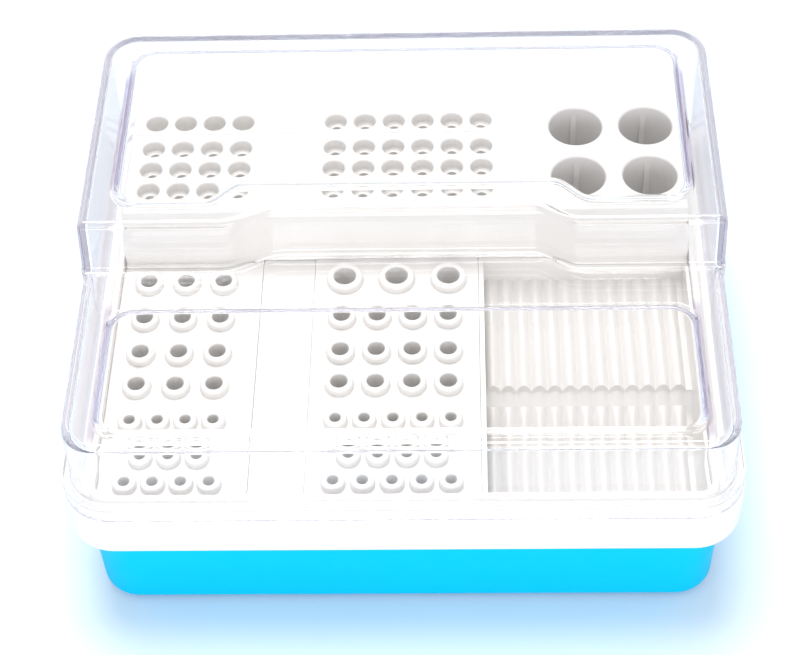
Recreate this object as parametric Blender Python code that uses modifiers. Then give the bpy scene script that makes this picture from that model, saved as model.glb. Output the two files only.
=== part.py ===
"""A bench-top test tube rack with a clear lift-off cover.

A blue base tray carries a white rack: a rim frame, a high rear deck with four deep tube cups,
two low socket blocks with a plain strip between them, and a ribbed tray. A clear stepped cover
stands on the rim. Metres, +Z up, front towards -Y, origin at the middle of the underside.
"""

import math

import bmesh
import bpy
from mathutils import Matrix, Vector

# Heights above the bench.
BASE_BOTTOM_Z = 0.0010
BASE_TOP_Z = 0.0441
RIM_BOTTOM_Z = 0.0342
RIM_TOP_Z = 0.0494
CURB_TOP_Z = 0.0530
LEDGE_TOP_Z = 0.0362
FLOOR_TOP_Z = 0.0495
COLLAR_TOP_Z = 0.0520
DECK_TOP_Z = 0.0723
COVER_BOTTOM_Z = 0.0497
SHELF_Z = 0.0560
COVER_WALL_FOOT_Z = 0.0520
LOW_SHOULDER_Z = 0.0799
HIGH_SHOULDER_Z = 0.0960
PANEL_RISE = 0.0018

# Plan sizes, as half widths (X) and half depths (Y).
RIM_HALF = (0.1004, 0.0825)
RIM_CORNER = 0.0145
SKIRT = 0.0040
CURB_HALF = (0.0932, 0.0756)
OPENING_HALF = (0.0910, 0.0740)
OPENING_CORNER = 0.0050
INNER_WALL = 0.0016
LEDGE = 0.0012
LEDGE_CORNER = 0.0010
CROSSBAR_Y = (0.0130, 0.0225)
DECK_LEDGE = (0.0880, 0.0700)
BASE_HALF = (0.0944, 0.0771)
BASE_CORNER = 0.0115
BASE_INNER_CORNER = 0.0070
BASE_DRAFT = 0.0012
BASE_WALL = 0.0019
BASE_FLOOR = 0.0024
COVER_HALF = (0.0967, 0.0790)
COVER_CORNER = 0.0110
COVER_DRAFT = 0.0014
COVER_WALL = 0.0023
FLANGE_HALF = (0.1003, 0.0824)
PLAY = 0.0003

# Roundings of top and foot edges.
BASE_FOOT_ROUND = 0.0035
RIM_ROUND = 0.0012
CURB_ROUND = 0.0007
DECK_ROUND = 0.0010
COVER_ROUND = 0.0024
FLANGE_ROUND = 0.0010
PANEL_ROUND = 0.0008
LEAST_CORNER = 0.0010

# How much of an outer rounding is taken off the same edge inside the cover, for each metre of wall.
INNER_ROUND_LOSS = 0.6
INNER_CORNER_LOSS = 0.5

# The cover's riser, with its finger scoop in the middle, and the two raised panels.
RISER_Y = -0.0086
RISER_CORNER = 0.0032
SCOOP_DEPTH = 0.0068
SCOOP_FLAT = 0.0360
SCOOP_RUN = 0.0160
PANEL_SCOOP_SHIFT = 0.0110
PANEL_SCOOP_CUT = 0.0050
PANEL_SINK = 0.0040
PANEL_HALF_X = 0.0873
PANEL_CORNER = 0.0070
HIGH_PANEL_Y = (0.0004, 0.0705)
LOW_PANEL_Y = (-0.0748, -0.0265)

# The rear deck and its wells.
RISER_FRONT_Y = 0.0200
DECK_HALF_X = 0.0896
DECK_REAR_Y = 0.0712
DECK_CORNER = 0.0040
DECK_PLATE = 0.0030
DECK_WALL = 0.0014
WELL_PITCH = 0.0095
WELL_RADIUS = 0.0037
WELL_DEPTH = 0.0040
WELL_HOLE_RADIUS = 0.0015
WELL_HOLE_DEPTH = 0.0095
PLAIN_WELL_DEPTH = 0.0065
REAR_ROWS_Y = (0.0490, 0.0396, 0.0301)
FIRST_ROW_Y = 0.0610
LEFT_WELLS_X = -0.08175
CENTRE_WELLS_X = -0.02275
WELL_DISH = 0.0010
PAD_DEPTH = 0.0130
PAD_MARGIN = 0.0020
TUBE_PITCH = (0.02280, 0.02245)
TUBE_FIRST = (0.05550, 0.03460)
TUBE_RADIUS = 0.00860
CUP_WALL = 0.0010
CUP_BOTTOM_Z = 0.0085
CUP_FLOOR_SHARE = 0.6
CUP_ROUND = (0.0060, 0.0045)
CUP_RIB_HALF = 0.0009
CUP_RIB_REACH = 0.0008
CUP_RIB_START = 0.0040
CUP_RIB_STOP = 0.0002

# The front blocks. A group of sockets is (kind, first x, pitch, count, y).
BLOCK_BOTTOM_Z = 0.0365
SOCKET_BOTTOM_Z = 0.0385
BLOCK_FRONT_Y = -0.0737
BLOCK_CORNER = 0.0047
BLOCK_REAR_Y = 0.0197
LEFT_BLOCK_X = (-0.0907, -0.0460)
STRIP_X = (-0.0457, -0.0292)
CENTRE_BLOCK_X = (-0.0289, 0.0233)
TRAY_X = (0.0236, 0.0907)
LEFT_GROUPS = (
    ("middle", -0.0821, 0.0120, 3, 0.0095),
    ("middle", -0.0821, 0.0120, 3, -0.0057),
    ("middle", -0.0821, 0.0120, 3, -0.0196),
    ("middle", -0.0821, 0.0120, 3, -0.0325),
    ("small", -0.0828, 0.0085, 4, -0.0465),
    ("small", -0.0785, 0.0085, 3, -0.0580),
    ("small", -0.0823, 0.0084, 4, -0.0688),
)
CENTRE_GROUPS = (
    ("large", -0.0193, 0.01655, 3, 0.0108),
    ("middle", -0.0198, 0.01117, 4, -0.0052),
    ("middle", -0.0198, 0.01117, 4, -0.0192),
    ("middle", -0.0198, 0.01117, 4, -0.0320),
    ("small", -0.0205, 0.00873, 5, -0.0462),
    ("small", -0.0162, 0.00873, 4, -0.0579),
    ("small", -0.0205, 0.00873, 5, -0.0687),
)
STRIP_DROP = 0.0004

# The ribbed tray: the floor of its two troughs from rear to front, as (y, z), and the underside.
TROUGH = (
    (0.0182, 0.0393),
    (0.0020, 0.0370),
    (-0.0226, 0.0376),
    (-0.0240, 0.0376),
    (-0.0243, 0.0286),
    (-0.0425, 0.0260),
    (-0.0711, 0.0266),
)
TROUGH_UNDERSIDE = (
    (0.0182, 0.0372),
    (0.0020, 0.0350),
    (-0.0208, 0.0354),
    (-0.0220, 0.0354),
    (-0.0223, 0.0266),
    (-0.0425, 0.0240),
    (-0.0711, 0.0246),
)
TRAY_WALL = 0.0012
TRAY_BOTTOM_Z = 0.0225
TRAY_STEP = 0.0014
RIB_PITCH = 0.0048
RIB_COUNT = 13
RIB_HEIGHT = 0.0012

FOOT_PLACE = (0.0780, 0.0600)
FOOT_RADIUS = 0.0050
FOOT_HEIGHT = 0.0020
FOOT_POCKET = 0.0013

CORNER_STEPS = 6
SCOOP_STEPS = 4
SMALL_SIDES = 8
MIDDLE_SIDES = 10
FOOT_SIDES = 16
CUP_SIDES = 20

# Kinds of socket, as (hole radius, collar radius, sides).
SOCKETS = {
    "small": (0.0017, 0.0037, SMALL_SIDES),
    "middle": (0.0026, 0.0045, MIDDLE_SIDES),
    "large": (0.0035, 0.0057, MIDDLE_SIDES),
}

# How far a cutter runs past the surface it opens, and how far a joined shape is sunk into its neighbour.
REACH = 0.0100
SUNK = 0.0010
MERGE_DISTANCE = 0.000001
FLAT_ANGLE = 0.01
SHARP_ANGLE = math.radians(35)


def clear_scene():
    for old in list(bpy.data.objects):
        bpy.data.objects.remove(old, do_unlink=True)


def make_collection(name):
    collection = bpy.data.collections.new(name)
    bpy.context.scene.collection.children.link(collection)
    return collection


def plastic(name, colour, roughness, transmission=0.0):
    material = bpy.data.materials.new(name)
    material.use_nodes = True
    shader = material.node_tree.nodes["Principled BSDF"]
    shader.inputs["Base Color"].default_value = (*colour, 1.0)
    shader.inputs["Roughness"].default_value = roughness
    shader.inputs["Metallic"].default_value = 0.0
    shader.inputs["Transmission Weight"].default_value = transmission
    return material


def add_part(name, mesh, material):
    """A visible sub-part."""
    part = bpy.data.objects.new(name, mesh)
    parts.objects.link(part)
    part.data.materials.clear()
    part.data.materials.append(material)
    mesh.shade_smooth()
    mesh.set_sharp_from_angle(angle=SHARP_ANGLE)
    return part


def add_tool(name, mesh):
    """A hidden shape that is cut from, or joined to, a sub-part."""
    tool = bpy.data.objects.new(name, mesh)
    cutters.objects.link(tool)
    tool.hide_render = True
    tool.display_type = "WIRE"
    return tool


def apply_boolean(target, tool, operation):
    modifier = target.modifiers.new(tool.name, "BOOLEAN")
    modifier.operation = operation
    modifier.solver = "EXACT"
    modifier.object = tool


def cut(target, name, mesh):
    apply_boolean(target, add_tool(name, mesh), "DIFFERENCE")


def join(target, name, mesh):
    apply_boolean(target, add_tool(name, mesh), "UNION")


def mesh_of(bm, name):
    mesh = bpy.data.meshes.new(name)
    bmesh.ops.recalc_face_normals(bm, faces=bm.faces)
    if bm.calc_volume(signed=True) < 0:
        bmesh.ops.reverse_faces(bm, faces=bm.faces)
    bm.to_mesh(mesh)
    bm.free()
    return mesh


def realised(obj):
    """The evaluated shape of a helper object as a bmesh in world space; the helper goes."""
    bpy.context.view_layer.update()
    evaluated = obj.evaluated_get(bpy.context.evaluated_depsgraph_get())
    mesh = bpy.data.meshes.new_from_object(evaluated)
    bm = bmesh.new()
    bm.from_mesh(mesh)
    bm.transform(obj.matrix_world)
    bmesh.ops.remove_doubles(bm, verts=bm.verts, dist=MERGE_DISTANCE)
    bpy.data.meshes.remove(mesh)
    bpy.data.objects.remove(obj, do_unlink=True)
    return bm


def rounded_rectangle(x_range, y_range, radii):
    """Plan outline, anticlockwise from the front right corner. Radii are one value or one a corner."""
    if not isinstance(radii, tuple):
        radii = (radii,) * 4
    points = []
    corners = (
        (x_range[1], y_range[0], -1, 1),
        (x_range[1], y_range[1], -1, -1),
        (x_range[0], y_range[1], 1, -1),
        (x_range[0], y_range[0], 1, 1),
    )
    for turn, (x, y, side_x, side_y) in enumerate(corners):
        radius = radii[turn]
        if not radius:
            points.append((x, y))
            continue
        x += side_x * radius
        y += side_y * radius
        for step in range(CORNER_STEPS + 1):
            angle = math.radians(90 * (turn - 1 + step / CORNER_STEPS))
            points.append((x + radius * math.cos(angle), y + radius * math.sin(angle)))
    return points


def centred_rectangle(half, radius, inset=0.0):
    """Rounded rectangle about the middle of the object, moved in by inset."""
    x = half[0] - inset
    y = half[1] - inset
    return rounded_rectangle((-x, x), (-y, y), max(radius - inset, LEAST_CORNER))


def scooped(outline, flat, run, depth):
    """The outline with the middle of its front edge set back by depth, in a smooth S each side."""
    front = min(y for _, y in outline)
    xs = [flat + run * step / SCOOP_STEPS for step in range(SCOOP_STEPS + 1)]
    middle = []
    for x in [-x for x in reversed(xs)] + xs:
        share = (flat + run - abs(x)) / run
        set_back = depth * (0.5 - 0.5 * math.cos(math.pi * share))
        middle.append((x, front + set_back))
    return outline + middle


def prism(name, outline, z_low, z_high, grow=0.0, round_top=0.0):
    """Upright prism on a plan outline. Its foot stands out by grow, and its top edge is rounded."""
    curve = bpy.data.curves.new(name, "CURVE")
    curve.dimensions = "2D"
    curve.fill_mode = "BOTH"
    curve.extrude = (z_high - z_low) / 2
    spline = curve.splines.new("POLY")
    spline.points.add(len(outline) - 1)
    for point, (x, y) in zip(spline.points, outline):
        point.co = (x, y, 0.0, 1.0)
    spline.use_cyclic_u = True
    helper = bpy.data.objects.new(name, curve)
    bpy.context.scene.collection.objects.link(helper)
    helper.location.z = (z_high + z_low) / 2
    bm = realised(helper)
    middle = (z_high + z_low) / 2
    if grow:
        reach_x = max(abs(x) for x, _ in outline)
        reach_y = max(abs(y) for _, y in outline)
        for vert in bm.verts:
            if vert.co.z < middle:
                vert.co.x *= 1 + grow / reach_x
                vert.co.y *= 1 + grow / reach_y
    if round_top:
        flat_edges = [e for e in bm.edges if len(e.link_faces) == 2 and e.calc_face_angle() < FLAT_ANGLE]
        bmesh.ops.dissolve_edges(bm, edges=flat_edges, use_verts=False)
        top = [e for e in bm.edges if all(v.co.z > middle for v in e.verts)]
        bmesh.ops.bevel(
            bm, geom=top, offset=round_top, segments=2, profile=0.5, affect="EDGES"
        )
    return mesh_of(bm, name)


def box(name, x_range, y_range, z_range):
    bm = bmesh.new()
    bmesh.ops.create_cube(bm, size=1.0)
    ranges = (x_range, y_range, z_range)
    size = Vector([high - low for low, high in ranges])
    middle = Vector([(high + low) / 2 for low, high in ranges])
    bmesh.ops.transform(bm, matrix=Matrix.Diagonal((*size, 1.0)), verts=bm.verts)
    bmesh.ops.translate(bm, vec=middle, verts=bm.verts)
    return mesh_of(bm, name)


def turned(name, profile, sides):
    """Solid of revolution about Z; the profile is (radius, z) from the top of the axis to its foot."""
    mesh = bpy.data.meshes.new(name)
    edges = [(i, i + 1) for i in range(len(profile) - 1)]
    mesh.from_pydata([(radius, 0.0, z) for radius, z in profile], edges, [])
    helper = bpy.data.objects.new(name, mesh)
    bpy.context.scene.collection.objects.link(helper)
    screw = helper.modifiers.new("turn", "SCREW")
    screw.axis = "Z"
    screw.angle = math.tau
    screw.steps = sides
    screw.render_steps = sides
    screw.use_merge_vertices = True
    screw.merge_threshold = 10 * MERGE_DISTANCE
    return realised(helper)


def repeated(name, bm, places):
    """Copies of one shape at each (x, y), as one mesh."""
    source = mesh_of(bm, name)
    copies = bmesh.new()
    for x, y in places:
        start = len(copies.verts)
        copies.from_mesh(source)
        copies.verts.ensure_lookup_table()
        bmesh.ops.translate(copies, vec=(x, y, 0.0), verts=copies.verts[start:])
    return mesh_of(copies, name)


def cylinders(name, places, radius, z_low, z_high, sides):
    profile = [(0.0, z_high), (radius, z_high), (radius, z_low), (0.0, z_low)]
    return repeated(name, turned(name, profile, sides), places)


def half_turned(bm, sides):
    """The shape turned by half of one of its sides about Z."""
    bmesh.ops.rotate(bm, matrix=Matrix.Rotation(math.pi / sides, 3, "Z"), verts=bm.verts)
    return bm


def base_tray():
    """Hollow tray with drafted walls, a rounded foot and shallow pockets for the feet."""
    outline = centred_rectangle(BASE_HALF, BASE_CORNER)
    # Built upside down, so that the rounded edge is at the foot, then turned over.
    bm = bmesh.new()
    shell = prism("base_shell", outline, -BASE_TOP_Z, -BASE_BOTTOM_Z, BASE_DRAFT, BASE_FOOT_ROUND)
    bm.from_mesh(shell)
    bmesh.ops.transform(bm, matrix=Matrix.Diagonal((1.0, 1.0, -1.0, 1.0)), verts=bm.verts)
    tray = add_part("base_tray", mesh_of(bm, "base_tray"), blue)
    half = (BASE_HALF[0] - BASE_WALL, BASE_HALF[1] - BASE_WALL)
    hollow = centred_rectangle(half, BASE_INNER_CORNER)
    floor = BASE_BOTTOM_Z + BASE_FLOOR
    bm = bmesh.new()
    bm.from_mesh(prism("base_inside", hollow, -BASE_TOP_Z - SUNK, -floor, BASE_DRAFT))
    bmesh.ops.transform(bm, matrix=Matrix.Diagonal((1.0, 1.0, -1.0, 1.0)), verts=bm.verts)
    cut(tray, "base_hollow", mesh_of(bm, "base_hollow"))
    x, y = FOOT_PLACE
    places = [(-x, -y), (x, -y), (-x, y), (x, y)]
    pocket_top = BASE_BOTTOM_Z + FOOT_POCKET
    pockets = cylinders("foot_pockets", places, FOOT_RADIUS + PLAY, -REACH, pocket_top, FOOT_SIDES)
    cut(tray, "foot_pockets", pockets)


def feet():
    x, y = FOOT_PLACE
    for name, place in (
        ("foot_front_left", (-x, -y)),
        ("foot_front_right", (x, -y)),
        ("foot_rear_left", (-x, y)),
        ("foot_rear_right", (x, y)),
    ):
        mesh = cylinders(name, [place], FOOT_RADIUS, 0.0, FOOT_HEIGHT, FOOT_SIDES)
        add_part(name, mesh, rubber)


def rack_frame():
    """Rim with a skirt outside the base tray, a curb inside the cover, and a ledge for the blocks."""
    outline = centred_rectangle(RIM_HALF, RIM_CORNER)
    rim = prism("rack_frame", outline, RIM_BOTTOM_Z, RIM_TOP_Z, 0.0, RIM_ROUND)
    frame = add_part("rack_frame", rim, white)
    curb = centred_rectangle(CURB_HALF, OPENING_CORNER + CURB_HALF[0] - OPENING_HALF[0])
    join(frame, "curb", prism("curb", curb, RIM_TOP_Z - 2 * SUNK, CURB_TOP_Z, 0.0, CURB_ROUND))
    opening = centred_rectangle(OPENING_HALF, OPENING_CORNER)
    cut(frame, "opening", prism("opening", opening, LEDGE_TOP_Z, CURB_TOP_Z + REACH))
    x = OPENING_HALF[0] - LEDGE
    y = OPENING_HALF[1] - LEDGE
    low = RIM_BOTTOM_Z - REACH
    high = LEDGE_TOP_Z + SUNK
    front = rounded_rectangle((-x, x), (-y, CROSSBAR_Y[0]), LEDGE_CORNER)
    cut(frame, "front_window", prism("front_window", front, low, high))
    rear_x = (-DECK_LEDGE[0], x)
    rear = rounded_rectangle(rear_x, (CROSSBAR_Y[1], DECK_LEDGE[1]), LEDGE_CORNER)
    cut(frame, "rear_window", prism("rear_window", rear, low, high))
    tray_x = (TRAY_X[0] - SUNK, x)
    tray = rounded_rectangle(tray_x, (0.0, RISER_FRONT_Y), LEDGE_CORNER)
    cut(frame, "tray_window", prism("tray_window", tray, low - SUNK, high + SUNK))
    outer = centred_rectangle(RIM_HALF, RIM_CORNER, SKIRT)
    inner = centred_rectangle(OPENING_HALF, OPENING_CORNER, -INNER_WALL)
    web_z = BASE_TOP_Z + PLAY
    groove = add_tool("skirt_groove", prism("skirt_groove", outer, low, web_z))
    cut(groove, "inner_wall", prism("inner_wall", inner, low - REACH, web_z + REACH))
    apply_boolean(frame, groove, "DIFFERENCE")


def grid_places(first_x, pitch, count, rows):
    return [(first_x + pitch * i, y) for y in rows for i in range(count)]


def rear_deck():
    """Raised deck: a hollow shell with thick pads under the small wells."""
    depth_middle = (RISER_FRONT_Y + DECK_REAR_Y) / 2
    half = (DECK_HALF_X, (DECK_REAR_Y - RISER_FRONT_Y) / 2)
    outline = centred_rectangle(half, DECK_CORNER)
    bm = bmesh.new()
    bm.from_mesh(prism("deck", outline, BLOCK_BOTTOM_Z, DECK_TOP_Z, 0.0, DECK_ROUND))
    bmesh.ops.translate(bm, vec=(0.0, depth_middle, 0.0), verts=bm.verts)
    deck = add_part("rear_deck", mesh_of(bm, "rear_deck"), white)
    wall = DECK_WALL
    x_range = (-DECK_HALF_X + wall, DECK_HALF_X - wall)
    y_range = (RISER_FRONT_Y + wall, DECK_REAR_Y - wall)
    z_range = (BLOCK_BOTTOM_Z - REACH, DECK_TOP_Z - DECK_PLATE)
    cut(deck, "deck_hollow", box("deck_hollow", x_range, y_range, z_range))
    margin = WELL_RADIUS + PAD_MARGIN
    for name, first_x, count in (
        ("left_pad", LEFT_WELLS_X, 4),
        ("centre_pad", CENTRE_WELLS_X, 6),
    ):
        x_range = (first_x - margin, first_x + WELL_PITCH * (count - 1) + margin)
        y_range = (REAR_ROWS_Y[-1] - margin, FIRST_ROW_Y + margin)
        z_range = (DECK_TOP_Z - PAD_DEPTH, DECK_TOP_Z - DECK_PLATE / 2)
        join(deck, name, box(name, x_range, y_range, z_range))
    top = DECK_TOP_Z + REACH
    step = DECK_TOP_Z - WELL_DEPTH
    foot = DECK_TOP_Z - WELL_HOLE_DEPTH
    profile = [
        (0.0, top),
        (WELL_RADIUS, top),
        (WELL_RADIUS, step + WELL_DISH),
        (WELL_HOLE_RADIUS, step),
        (WELL_HOLE_RADIUS, foot),
        (0.0, foot),
    ]
    stepped = turned("stepped_wells", profile, MIDDLE_SIDES)
    places = grid_places(LEFT_WELLS_X, WELL_PITCH, 4, REAR_ROWS_Y)
    places += grid_places(CENTRE_WELLS_X, WELL_PITCH, 6, (FIRST_ROW_Y, *REAR_ROWS_Y))
    cut(deck, "stepped_wells", repeated("stepped_wells", stepped, places))
    plain = grid_places(LEFT_WELLS_X, WELL_PITCH, 4, (FIRST_ROW_Y,))
    floor = DECK_TOP_Z - PLAIN_WELL_DEPTH
    wells = cylinders("plain_wells", plain, WELL_RADIUS, floor, top, MIDDLE_SIDES)
    cut(deck, "plain_wells", wells)
    low = DECK_TOP_Z - 2 * DECK_PLATE
    holes = cylinders("tube_holes", list(tube_places().values()), TUBE_RADIUS, low, top, CUP_SIDES)
    cut(deck, "tube_holes", holes)


def tube_places():
    x, y = TUBE_FIRST
    dx, dy = TUBE_PITCH
    return {
        "tube_cup_front_left": (x, y),
        "tube_cup_front_right": (x + dx, y),
        "tube_cup_rear_left": (x, y + dy),
        "tube_cup_rear_right": (x + dx, y + dy),
    }


def tube_cups():
    """Deep round-bottomed cups below the large holes, each with one upright rib at its rear."""
    top = DECK_TOP_Z - DECK_PLATE - PLAY
    outer = TUBE_RADIUS + CUP_WALL
    profile = [
        (0.0, CUP_BOTTOM_Z + CUP_WALL),
        (TUBE_RADIUS * CUP_FLOOR_SHARE, CUP_BOTTOM_Z + CUP_WALL),
        (TUBE_RADIUS, CUP_BOTTOM_Z + CUP_ROUND[0]),
        (TUBE_RADIUS, top),
        (outer, top),
        (outer, CUP_BOTTOM_Z + CUP_ROUND[1]),
        (TUBE_RADIUS * CUP_FLOOR_SHARE, CUP_BOTTOM_Z),
        (0.0, CUP_BOTTOM_Z),
    ]
    for name, place in tube_places().items():
        cup = add_part(name, repeated(name, turned(name, profile, CUP_SIDES), [place]), white)
        x, y = place
        rib_x = (x - CUP_RIB_HALF, x + CUP_RIB_HALF)
        rib_y = (y + TUBE_RADIUS - CUP_RIB_REACH, y + TUBE_RADIUS + CUP_WALL / 2)
        rib_z = (CUP_BOTTOM_Z + CUP_RIB_START, top - CUP_RIB_STOP)
        rib = box(name + "_rib", rib_x, rib_y, rib_z)
        join(cup, name + "_rib", rib)


def socket_block(name, x_range, corners, groups):
    """Flat block with collared blind sockets in rows."""
    outline = rounded_rectangle(x_range, (BLOCK_FRONT_Y, BLOCK_REAR_Y), corners)
    block = add_part(name, prism(name, outline, BLOCK_BOTTOM_Z, FLOOR_TOP_Z), white)
    for kind, (hole_radius, collar_radius, sides) in SOCKETS.items():
        places = []
        for group_kind, first_x, pitch, count, y in groups:
            if group_kind == kind:
                places += grid_places(first_x, pitch, count, (y,))
        if not places:
            continue
        tool = f"{name}_{kind}"
        low = FLOOR_TOP_Z - SUNK
        collars = cylinders(tool, places, collar_radius, low, COLLAR_TOP_Z, sides)
        join(block, tool + "_collars", collars)
        top = COLLAR_TOP_Z + REACH
        foot = SOCKET_BOTTOM_Z
        profile = [(0.0, top), (hole_radius, top), (hole_radius, foot), (0.0, foot)]
        socket = half_turned(turned(tool, profile, sides), sides)
        cut(block, tool + "_sockets", repeated(tool, socket, places))


def centre_strip():
    y_range = (BLOCK_FRONT_Y, BLOCK_REAR_Y)
    z_range = (BLOCK_BOTTOM_Z, FLOOR_TOP_Z - STRIP_DROP)
    add_part("centre_strip", box("centre_strip", STRIP_X, y_range, z_range), white)


def trough_solid(name, x_range, profile, ribbed, z_far):
    """The space above (z_far high) or below (z_far low) the trough floor, as a closed solid."""
    columns = 2 * RIB_COUNT + 2 if ribbed else 1
    rows = len(profile) - 1
    bm = bmesh.new()
    bmesh.ops.create_grid(bm, x_segments=columns, y_segments=rows, size=1.0)
    for vert in bm.verts:
        column = round((vert.co.x + 1) / 2 * columns)
        row = round((1 - vert.co.y) / 2 * rows)
        y, z = profile[row]
        rib = 0.0
        if ribbed:
            x = (x_range[0] + x_range[1]) / 2 + (column - columns / 2) * RIB_PITCH / 2
            rib = RIB_HEIGHT if column % 2 == 0 and 0 < column < columns else 0.0
            if column in (0, columns):
                x = x_range[min(column, 1)]
        else:
            x = x_range[column]
        vert.co = (x, y, z + rib)
    extruded = bmesh.ops.extrude_face_region(bm, geom=bm.faces[:])
    for vert in extruded["geom"]:
        if isinstance(vert, bmesh.types.BMVert):
            vert.co.z = z_far
    return mesh_of(bm, name)


def ribbed_tray():
    """Deep tray with two stepped troughs; its lower part steps in to pass the frame's ledge."""
    outline = rounded_rectangle(
        TRAY_X, (BLOCK_FRONT_Y, BLOCK_REAR_Y), (BLOCK_CORNER, 0.0, 0.0, 0.0)
    )
    tray = add_part(
        "ribbed_tray", prism("ribbed_tray", outline, TRAY_BOTTOM_Z, FLOOR_TOP_Z), white
    )
    low_x = (TRAY_X[0], TRAY_X[1] - TRAY_STEP)
    low_y = (BLOCK_FRONT_Y + TRAY_STEP, BLOCK_REAR_Y)
    trim_x = (TRAY_X[0] - REACH, TRAY_X[1] + REACH)
    trim_y = (BLOCK_FRONT_Y - REACH, BLOCK_REAR_Y + REACH)
    trim = add_tool("tray_trim", box("tray_trim", trim_x, trim_y, (0.0, BLOCK_BOTTOM_Z)))
    keep_x = (trim_x[0] - REACH, low_x[1])
    keep_y = (low_y[0], trim_y[1] + REACH)
    cut(trim, "tray_keep", box("tray_keep", keep_x, keep_y, (-REACH, BLOCK_BOTTOM_Z + REACH)))
    apply_boolean(tray, trim, "DIFFERENCE")
    inside_x = (low_x[0] + TRAY_WALL, low_x[1] - TRAY_WALL)
    above = trough_solid("tray_trough", inside_x, TROUGH, True, FLOOR_TOP_Z + REACH)
    cut(tray, "tray_trough", above)
    below = trough_solid("tray_under", inside_x, TROUGH_UNDERSIDE, False, 0.0)
    cut(tray, "tray_under", below)


def cover_body(name, inset):
    """The cover's outer form, or its inner form when it is moved in by the wall."""
    shelf = SHELF_Z - inset
    bottom = COVER_BOTTOM_Z if inset == 0 else COVER_BOTTOM_Z - REACH
    high_z = HIGH_SHOULDER_Z - inset
    low_z = LOW_SHOULDER_Z - inset
    edge = COVER_ROUND - inset * INNER_ROUND_LOSS
    riser_y = RISER_Y + inset
    half = (COVER_HALF[0] - inset, COVER_HALF[1] - inset)
    corner = COVER_CORNER - inset
    foot = COVER_WALL_FOOT_Z
    low = rounded_rectangle((-half[0], half[0]), (-half[1], half[1]), corner)
    body = add_tool(name, prism(name, low, foot, low_z, COVER_DRAFT, edge))
    front_corner = RISER_CORNER - inset * INNER_CORNER_LOSS
    corners = (front_corner, corner, corner, front_corner)
    high = rounded_rectangle((-half[0], half[0]), (riser_y, half[1]), corners)
    high = scooped(high, SCOOP_FLAT, SCOOP_RUN, SCOOP_DEPTH)
    top = prism(name + "_high", high, foot + SUNK, high_z, COVER_DRAFT, edge)
    join(body, name + "_high", top)
    flange = centred_rectangle(FLANGE_HALF, RIM_CORNER, inset)
    join(body, name + "_flange", prism(name + "_flange", flange, bottom, shelf, 0.0, FLANGE_ROUND))
    panel_x = PANEL_HALF_X - inset
    for level, y_range, z, front_scoop in (
        ("high_panel", HIGH_PANEL_Y, high_z, True),
        ("low_panel", LOW_PANEL_Y, low_z, False),
    ):
        y_inner = (y_range[0] + inset, y_range[1] - inset)
        panel = rounded_rectangle((-panel_x, panel_x), y_inner, PANEL_CORNER - inset)
        if front_scoop:
            flat = SCOOP_FLAT + PANEL_SCOOP_SHIFT
            panel = scooped(panel, flat, SCOOP_RUN - PANEL_SCOOP_CUT, SCOOP_DEPTH)
        tool = f"{name}_{level}"
        join(body, tool, prism(tool, panel, z - PANEL_SINK, z + PANEL_RISE, 0.0, PANEL_ROUND))
    return body


def clear_cover():
    outer = cover_body("cover_outer", 0.0)
    inner = cover_body("cover_inner", COVER_WALL)
    cutters.objects.unlink(outer)
    parts.objects.link(outer)
    outer.hide_render = False
    outer.display_type = "TEXTURED"
    outer.name = "clear_cover"
    outer.data.materials.append(clear)
    apply_boolean(outer, inner, "DIFFERENCE")


clear_scene()
parts = make_collection("test_tube_rack")
cutters = make_collection("cutters")
white = plastic("white_plastic", (0.92, 0.92, 0.90), 0.28)
blue = plastic("blue_plastic", (0.01, 0.62, 0.92), 0.35)
clear = plastic("clear_plastic", (0.96, 0.96, 1.0), 0.05, 1.0)
rubber = plastic("grey_rubber", (0.10, 0.10, 0.11), 0.80)

base_tray()
feet()
rack_frame()
rear_deck()
tube_cups()
socket_block("front_left_block", LEFT_BLOCK_X, (0.0, 0.0, 0.0, BLOCK_CORNER), LEFT_GROUPS)
centre_strip()
socket_block("front_centre_block", CENTRE_BLOCK_X, (0.0, 0.0, 0.0, 0.0), CENTRE_GROUPS)
ribbed_tray()
clear_cover()
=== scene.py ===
"""The looks of a covered bench-top test tube rack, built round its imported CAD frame.

Plan sizes and heights are in millimetres, in the frame's axes (+X right, +Y to the rear, +Z up);
add_piece turns each finished mesh into metres.
"""

import math

import bmesh
import bpy
from mathutils import Matrix, Vector


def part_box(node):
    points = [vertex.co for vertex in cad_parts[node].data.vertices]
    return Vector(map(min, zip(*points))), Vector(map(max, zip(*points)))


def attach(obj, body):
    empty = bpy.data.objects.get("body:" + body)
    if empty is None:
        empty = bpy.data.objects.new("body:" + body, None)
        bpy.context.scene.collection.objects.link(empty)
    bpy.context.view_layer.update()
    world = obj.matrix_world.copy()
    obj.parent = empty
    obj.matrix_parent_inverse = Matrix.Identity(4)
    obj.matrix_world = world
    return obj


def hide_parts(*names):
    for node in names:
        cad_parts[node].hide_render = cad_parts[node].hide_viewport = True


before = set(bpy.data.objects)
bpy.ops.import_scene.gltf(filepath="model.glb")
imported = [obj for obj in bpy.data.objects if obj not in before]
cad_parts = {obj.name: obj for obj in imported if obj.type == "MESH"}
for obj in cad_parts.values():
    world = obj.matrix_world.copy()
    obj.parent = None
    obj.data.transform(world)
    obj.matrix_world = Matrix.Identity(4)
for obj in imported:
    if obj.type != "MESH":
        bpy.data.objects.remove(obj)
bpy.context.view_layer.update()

MM = 0.001
CORNER_STEPS = 12
FILLET_STEPS = 5
SMOOTH_ANGLE = math.radians(32)
WELD_DISTANCE = 1e-7


def cad(node):
    """(lowest, highest) corner of a CAD node in millimetres."""
    low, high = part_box(node)
    return Vector(low) / MM, Vector(high) / MM


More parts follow.
